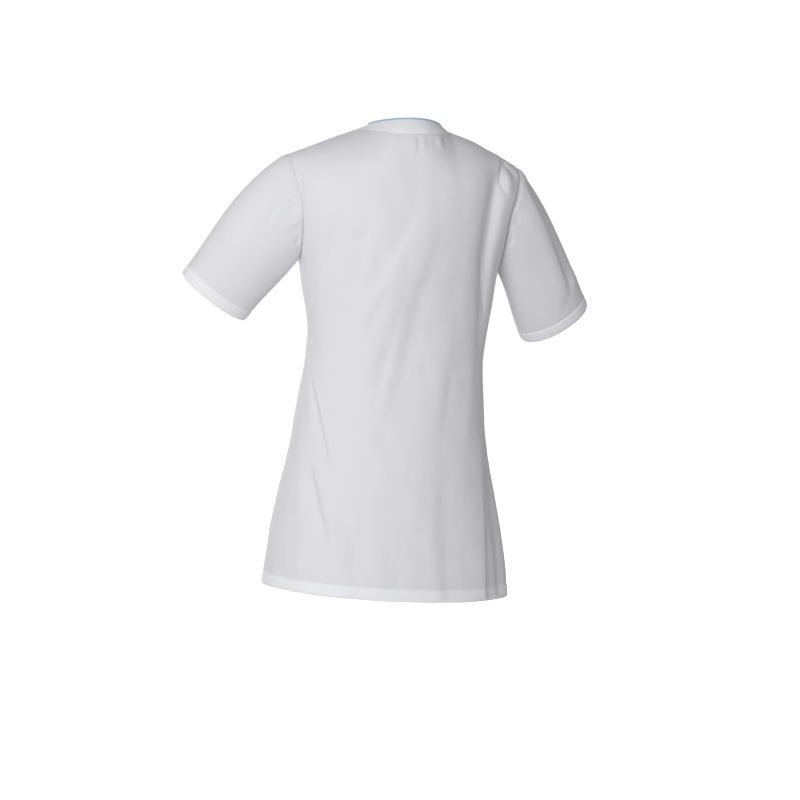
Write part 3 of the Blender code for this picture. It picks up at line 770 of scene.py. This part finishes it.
def twillGroup():
    # fine twill lines from the cloth's own flat coordinates in metres, and uneven threads
    group, given, out = newGroup("twillWeave", "Pitch", 0.0009, ("Height", "Tone"))
    flatMap = addNode(group, "ShaderNodeUVMap", uv_map="flat")
    # a wave texture repeats ten times in 2 pi, along the diagonal
    density = addNode(group, "ShaderNodeMath", {0: 2 * math.pi / 10 / math.sqrt(2)}, operation="DIVIDE")
    join(given, "Pitch", density, 1)
    scaled = addNode(group, "ShaderNodeVectorMath", operation="SCALE")
    join(flatMap, "UV", scaled, 0)
    join(density, 0, scaled, "Scale")
    lines = addNode(
        group, "ShaderNodeTexWave", {"Scale": 1.0, "Distortion": 1.2, "Detail": 1.0},
        wave_type="BANDS", bands_direction="DIAGONAL",
    )
    join(scaled, 0, lines, "Vector")
    stretched = addNode(group, "ShaderNodeMapping", {"Scale": (900.0, 60.0, 1.0)})
    join(flatMap, "UV", stretched, "Vector")
    threads = addNode(group, "ShaderNodeTexNoise", {"Scale": 1.0, "Detail": 2.0})
    join(stretched, 0, threads, "Vector")
    both = addNode(group, "ShaderNodeMath", {1: 0.6}, operation="MULTIPLY_ADD")
    join(lines, "Fac", both, 0)
    join(threads, "Fac", both, 2)
    join(both, 0, out, "Height")
    join(threads, "Fac", out, "Tone")
    return group


def crumpleGroup():
    # the soft handling marks of worn cloth, too shallow to model
    group, given, out = newGroup("softCrumple", "Size", 28.0, ("Height",))
    where = addNode(group, "ShaderNodeTexCoord")
    marks = addNode(group, "ShaderNodeTexNoise", {"Detail": 3.0, "Roughness": 0.45, "Distortion": 0.4})
    join(where, "Object", marks, "Vector")
    join(given, "Size", marks, "Scale")
    join(marks, "Fac", out, "Height")
    return group


weave, crumple = twillGroup(), crumpleGroup()


def clothMaterial(name, look):
    material, tree, shader = newMaterial(name)
    shader.inputs["Metallic"].default_value = 0.0
    shader.inputs["Sheen Weight"].default_value = look["sheen"]
    shader.inputs["Sheen Roughness"].default_value = 0.5
    shader.inputs["Specular IOR Level"].default_value = look["specular"]
    twill = addNode(tree, "ShaderNodeGroup", {"Pitch": look["pitch"]}, node_tree=weave)
    marks = addNode(tree, "ShaderNodeGroup", {"Size": look["crumpleSize"]}, node_tree=crumple)

    colours = {"A": (*look["shade"], 1.0), "B": (*look["colour"], 1.0)}
    tone = addNode(tree, "ShaderNodeMix", colours, data_type="RGBA")
    join(twill, "Tone", tone, "Factor")
    layers = addNode(tree, "ShaderNodeAttribute", attribute_name="doubled")
    bright = addNode(tree, "ShaderNodeMix", {"B": (*look["doubled"], 1.0)}, data_type="RGBA")
    join(layers, "Fac", bright, "Factor")
    join(tone, "Result", bright, "A")
    join(bright, "Result", shader, "Base Color")

    least, most = look["rough"]
    rough = addNode(tree, "ShaderNodeMapRange", {"To Min": least, "To Max": most})
    join(marks, "Height", rough, "Value")
    join(rough, "Result", shader, "Roughness")

    soft = addNode(tree, "ShaderNodeBump", {"Strength": look["crumple"], "Distance": 0.004})
    join(marks, "Height", soft, "Height")
    fine = addNode(tree, "ShaderNodeBump", {"Strength": look["weave"], "Distance": 0.0001})
    join(twill, "Height", fine, "Height")
    join(soft, "Normal", fine, "Normal")
    join(fine, "Normal", shader, "Normal")
    return material


whiteLook = {
    "colour": (0.790, 0.790, 0.815), "shade": (0.755, 0.755, 0.780), "doubled": (0.865, 0.867, 0.888),
    "sheen": 0.10, "specular": 0.18, "pitch": 0.0010, "rough": (0.76, 0.88),
    "crumpleSize": 24.0, "crumple": 0.32, "weave": 0.35,
}
blueLook = {
    "colour": (0.360, 0.540, 0.760), "shade": (0.310, 0.490, 0.720), "doubled": (0.360, 0.540, 0.760),
    "sheen": 0.10, "specular": 0.20, "pitch": 0.0007, "rough": (0.69, 0.81),
    "crumpleSize": 60.0, "crumple": 0.08, "weave": 0.45,
}
whiteCloth = clothMaterial("whiteCloth", whiteLook)
bluePiping = clothMaterial("bluePiping", blueLook)


def threadMaterial():
    material, tree, shader = newMaterial("whiteThread")
    shader.inputs["Roughness"].default_value = 0.55
    shader.inputs["Specular IOR Level"].default_value = 0.35
    where = addNode(tree, "ShaderNodeTexCoord")
    fibre = addNode(tree, "ShaderNodeTexNoise", {"Scale": 900.0})
    join(where, "Object", fibre, "Vector")
    colours = {"A": (0.70, 0.70, 0.72, 1.0), "B": (0.84, 0.84, 0.86, 1.0)}
    tone = addNode(tree, "ShaderNodeMix", colours, data_type="RGBA")
    join(fibre, "Fac", tone, "Factor")
    join(tone, "Result", shader, "Base Color")
    twist = addNode(tree, "ShaderNodeBump", {"Strength": 0.3, "Distance": 0.0001})
    join(fibre, "Fac", twist, "Height")
    join(twist, "Normal", shader, "Normal")
    return material


whiteThread = threadMaterial()


# Sewing

thread = {
    "pitch": 0.0030, "length": 0.0025, "width": 0.00050, "height": 0.00042, "segments": 6, "rings": 5,
    "above": 0.15,  # of its height, from the cloth to a stitch's middle
}


def sew(name, lines):
    # a row of stitches along each line of points, square to the cloth by the normals there
    bm = bmesh.new()
    half = thread["length"] / 2
    for line, normals in lines:
        run = runAlong(line)
        count = max(1, round(run[-1] / thread["pitch"]))
        for middle in (np.arange(count) + 0.5) * run[-1] / count:
            tail, head, up = (
                Vector([np.interp(middle + shift, run, values[:, i]) for i in range(3)])
                for shift, values in ((-half, line), (half, line), (0, normals))
            )
            ahead = (head - tail).normalized()
            aside = ahead.cross(up).normalized()
            up = aside.cross(ahead)
            turned = Matrix((aside, up, ahead)).transposed().to_4x4()
            sizes = Matrix.Diagonal((thread["width"] / 2, thread["height"] / 2, half, 1))
            lifted = Matrix.Translation((head + tail) / 2 + up * thread["height"] * thread["above"])
            bmesh.ops.create_uvsphere(
                bm, u_segments=thread["segments"], v_segments=thread["rings"], radius=1.0,
                matrix=lifted @ turned @ sizes,
            )
    return asPiece(bm, name, whiteThread)


# Making the panels

def makePanel(name, facing):
    base = basePoints[facing]
    height = panelHeights(base, facing)
    points = settle(base + outwardNormals(base) * height[..., None])
    up = runAlong(base)
    flat = np.stack([roundBody(base, facing)[0], up], axis=-1)
    inward = np.zeros(points.shape)
    inward[:, 0] = (1, 0, 0)
    inward[:, -1] = (-1, 0, 0)
    for hangName, hang in hangs.items():
        # an armhole's ring runs down the back and up the front
        rim = inwardAt[hangName] if facing > 0 else np.roll(inwardAt[hangName][::-1], 1, axis=0)
        inward[skirtCount - 1:, armholeIndex(hang.side)] = rim[:len(chestSteps()) + 1][::-1]
    place, onNeck = neckPlaces()
    seamX, seamWay = neckCurve(facing, np.clip(place, -1, 1), 0.0)
    inward[-1] = np.where(onNeck[:, None], -formNormal(seamX, seamWay, facing), (0.0, 0.0, -1.0))
    piece = layGrid(
        name, points, flat, whiteCloth, inward=inward, turned=("sides", "top"),
        doubled=doubledIn(up),
    )
    thicken(piece, cloth["hemWall"], hemmed=True)
    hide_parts(name.replace("_cloth", ""))
    stitches = sew(name + "_hem_stitches", [(points[stitchRow], outwardNormals(points)[stitchRow])])
    return piece, stitches


pieces = {}
for name, facing in (("back", 1), ("front", -1)):
    pieces[name], stitches = makePanel(name + "_cloth", facing)
    print("made", name)


# Making the sleeves

def fromPit(grid):
    # a sleeve's grid cut at the underarm, where its own seam runs
    return joined(np.roll(grid, -len(chestSteps()), axis=1))


def makeSleeve(name, hang):
    base, turn = sleeveBase[name]
    height = sleeveHeights(base, turn, hang, sleeveCreases[name])
    points = settle(base + outwardNormals(base, closed=True) * height[..., None])
    around, down = runAlong(joined(points), 1), runAlong(points)
    points, toCuff = fromPit(points), fromPit(down[-1:] - down)
    inward = np.zeros(points.shape)
    inward[0] = fromPit(inwardAt[name][None])[0]
    piece = layGrid(
        name + "_cloth", points, np.stack([around, -toCuff], axis=-1), whiteCloth,
        inward=inward, turned=("low",), doubled=doubledIn(toCuff), closed=True,
    )
    thicken(piece, cloth["hemWall"], hemmed=True)
    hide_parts(name)
    row = len(points) - 1 - stitchRow
    stitches = sew(name + "_hem_stitches", [(points[row], outwardNormals(points)[row])])
    return piece, stitches


for name, hang in hangs.items():
    pieces[name], stitches = makeSleeve(name, hang)
    print("made", name)


# The neck bands and the piping

band = {
    "columns": 34,  # for a front band, and twice as many for the back one
    "rows": np.array((0.0, 0.05, 0.1, 0.2, 0.3, 0.4, 0.5, 0.6, 0.7, 0.8, 0.9, 0.95, 1.0)),
    "proud": 0.0006, "proudFade": 0.0015,
    "stitchIn": 0.0022, "dip": 0.0004, "dipWidth": 0.0010, "seed": 51.0,
}


def bandPoints(facing, places):
    place, inner = np.meshgrid(places, band["rows"])
    outerX, outerWay = neckCurve(facing, place, cloth["seamGap"] / form["bandOnShoulder"])
    innerX, innerWay = neckCurve(facing, place, 1.0)
    return outerX + (innerX - outerX) * inner, outerWay + (innerWay - outerWay) * inner


def makeBand(name, facing, low, high):
    x, way = bandPoints(facing, np.linspace(low, high, band["columns"] * (2 if facing > 0 else 1) + 1))
    base = onForm(x, way, facing)
    if facing < 0:
        side = 1 if high > 0 else -1
        base[..., 0] = side * np.maximum(side * base[..., 0], cloth["seamGap"])
    normal = formNormal(x, way, facing)
    up = np.linalg.norm(base - base[:1], axis=2)
    toEdge = np.minimum(up, np.linalg.norm(base - base[-1:], axis=2))
    along = runAlong(base, 1)
    toEnd = np.minimum(along, along[:, -1:] - along)
    height = band["proud"] * smooth(toEdge / band["proudFade"]) * smooth(toEnd / band["proudFade"])
    height -= band["dip"] * bell(toEdge - band["stitchIn"], band["dipWidth"])
    height += puckers(along, toEdge, bandPucker, band["seed"] + low)
    height -= cloth["seamSink"] * bell(toEnd, cloth["sinkWidth"])
    points = settle(base + normal * height[..., None])
    piece = layGrid(
        name + "_cloth", points, np.stack([along, up], axis=-1), whiteCloth,
        inward=-normal, turned=("low", "top", "sides"), doubled=np.ones(height.shape),
    )
    thicken(piece, cloth["bandWall"])
    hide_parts(name)
    share = band["stitchIn"] / up[-1].mean()
    rows = [int(np.argmin(np.abs(band["rows"] - inner))) for inner in (share, 1 - share)]
    stitches = sew(name + "_stitches", [(points[row], normal[row]) for row in rows])
    return piece, stitches


for name, facing, low, high, width in (
    ("neck_band_back", 1, -1.0, 1.0, 0.26),
    ("neck_band_front_left", -1, 0.0, 1.0, 0.25),
    ("neck_band_front_right", -1, -1.0, 0.0, 0.25),
):
    pieces[name], stitches = makeBand(name, facing, low, high)
print("made the neck bands")


piping = {
    "radius": 0.0017, "around": 12, "along": 240,
    "inward": 1.06,  # a place a little past the neckline shows which way is inward
    "smoothing": 6, "inset": 0.9, "sunk": 0.0004,
    "wider": 0.45, "widerReach": 0.016,  # it shows wider where it turns over the right shoulder
}


def makePiping():
    # a round edge of blue cloth all round the neckline
    count = piping["along"] // 2
    loops = []
    for facing in (1, -1):
        places = np.linspace(-facing, facing, count + 1)
        x, way = neckCurve(facing, places, 1.0)
        edge = onForm(x, way, facing)
        inside = unit(onForm(*neckCurve(facing, places, piping["inward"]), facing) - edge)
        loops.append((edge[:-1], inside[:-1], formNormal(x, way, facing)[:-1]))
    edge, inside, normal = (np.concatenate(parts) for parts in zip(*loops))
    ahead = unit(np.roll(edge, -1, axis=0) - np.roll(edge, 1, axis=0))
    for _ in range(piping["smoothing"]):
        inside = unit(np.roll(inside, 1, axis=0) + inside + np.roll(inside, -1, axis=0))
    inside = unit(inside - ahead * (inside * ahead).sum(axis=1, keepdims=True))
    up = np.cross(ahead, inside)
    up *= np.sign((up * normal).sum())
    middle = settle(edge) + inside * piping["radius"] * piping["inset"] - up * piping["sunk"]
    turn = np.linspace(0, 2 * math.pi, piping["around"] + 1)
    ring = inside[:, None] * np.cos(turn)[None, :, None] + up[:, None] * np.sin(turn)[None, :, None]
    toShoulder = np.linalg.norm(edge - edge[0], axis=1)
    wide = 1 + piping["wider"] * bell(toShoulder, piping["widerReach"])
    points = middle[:, None] + ring * piping["radius"] * wide[:, None, None]
    points = np.concatenate([points, points[:1]])
    flat = np.stack(np.broadcast_arrays(turn[None, :] * piping["radius"], runAlong(points)[:, :1]), axis=-1)
    piece = layGrid("neck_piping_cloth", points, flat, bluePiping, closed=True)
    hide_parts("neck_piping")
    return piece


pieces["neck_piping"] = makePiping()
print("made the piping")


# Stage, light and camera

stage = {"floor": -1.45, "size": 40.0, "field": 1.30, "distance": 3.5, "sensor": 36.0}


def makeFloor():
    bm = bmesh.new()
    bmesh.ops.create_grid(bm, x_segments=1, y_segments=1, size=stage["size"] / 2)
    bmesh.ops.translate(bm, verts=bm.verts, vec=(0, 0, stage["floor"]))
    mesh = bpy.data.meshes.new("floor")
    bm.to_mesh(mesh)
    bm.free()
    material, tree, shader = newMaterial("paleFloor")
    shader.inputs["Base Color"].default_value = (0.80, 0.80, 0.80, 1.0)
    shader.inputs["Roughness"].default_value = 0.9
    shader.inputs["Emission Color"].default_value = (1, 1, 1, 1)
    path = addNode(tree, "ShaderNodeLightPath")
    join(path, "Is Camera Ray", shader, "Emission Strength")
    mesh.materials.append(material)
    floor = placed("floor", mesh)


def makeWorld(light, side, toward, seen):
    # an even studio, brighter on the side where the photo's light comes from
    world = bpy.data.worlds.new("studio")
    bpy.context.scene.world = world
    world.use_nodes = True
    tree = world.node_tree
    tree.nodes.clear()
    out = addNode(tree, "ShaderNodeOutputWorld")
    where = addNode(tree, "ShaderNodeTexCoord")
    facing = addNode(tree, "ShaderNodeVectorMath", {1: Vector(toward).normalized()}, operation="DOT_PRODUCT")
    level = addNode(tree, "ShaderNodeMath", {1: side, 2: light}, operation="MULTIPLY_ADD")
    lit = addNode(tree, "ShaderNodeBackground", {"Color": (1, 1, 1, 1)})
    shown = addNode(tree, "ShaderNodeBackground", {"Color": (1, 1, 1, 1), "Strength": seen})
    join(where, "Generated", facing, 0)
    join(facing, "Value", level, 0)
    join(level, 0, lit, "Strength")
    path, mix = addNode(tree, "ShaderNodeLightPath"), addNode(tree, "ShaderNodeMixShader")
    join(path, "Is Camera Ray", mix, "Fac")
    join(lit, 0, mix, 1)
    join(shown, 0, mix, 2)
    join(mix, 0, out, "Surface")


def makeLight(name, place, aim, size, power):
    data = bpy.data.lights.new(name, "AREA")
    data.shape = "SQUARE"
    data.size = size
    data.energy = power
    lamp = placed(name, data)
    lamp.location = place
    lamp.rotation_euler = (Vector(aim) - Vector(place)).to_track_quat("-Z", "Y").to_euler()


def makeCamera(azimuth, elevation, roll, right, up):
    # round the tunic and above level, in degrees, aimed at a point to the right of the origin and up
    azimuth, elevation = math.radians(azimuth), math.radians(elevation)
    level = math.cos(elevation)
    out = Vector((math.sin(azimuth) * level, -math.cos(azimuth) * level, math.sin(elevation)))
    aside = Vector((0, 0, 1)).cross(out).normalized()
    target = aside * right + Vector((0, 0, up))
    data = bpy.data.cameras.new("camera")
    data.sensor_width = stage["sensor"]
    data.lens = stage["sensor"] * stage["distance"] / stage["field"]
    camera = placed("camera", data)
    place = Matrix.Translation(target + out * stage["distance"])
    facing = Matrix((aside, out.cross(aside), out)).transposed().to_4x4()
    camera.matrix_world = place @ facing @ Matrix.Rotation(math.radians(roll), 4, "Z")
    bpy.context.scene.camera = camera


makeFloor()
makeWorld(light=0.44, side=0.28, toward=(0.54, 0.80, -0.30), seen=1.05)
makeLight("key", place=(1.20, 1.85, 0.05), aim=(0, 0, -0.24), size=0.9, power=20.5)
makeLight("lowFill", place=(-0.5, 2.6, -1.25), aim=(0, 0, -0.20), size=1.4, power=2.0)
makeLight("frontFill", place=(0.9, -3.2, 0.0), aim=(0, 0, -0.4), size=2.0, power=48.0)
makeCamera(azimuth=167.2, elevation=2.0, roll=2.4, right=0.0108, up=-0.4406)
bpy.context.scene.view_settings.view_transform = "Standard"
print("stage, light and camera are set")
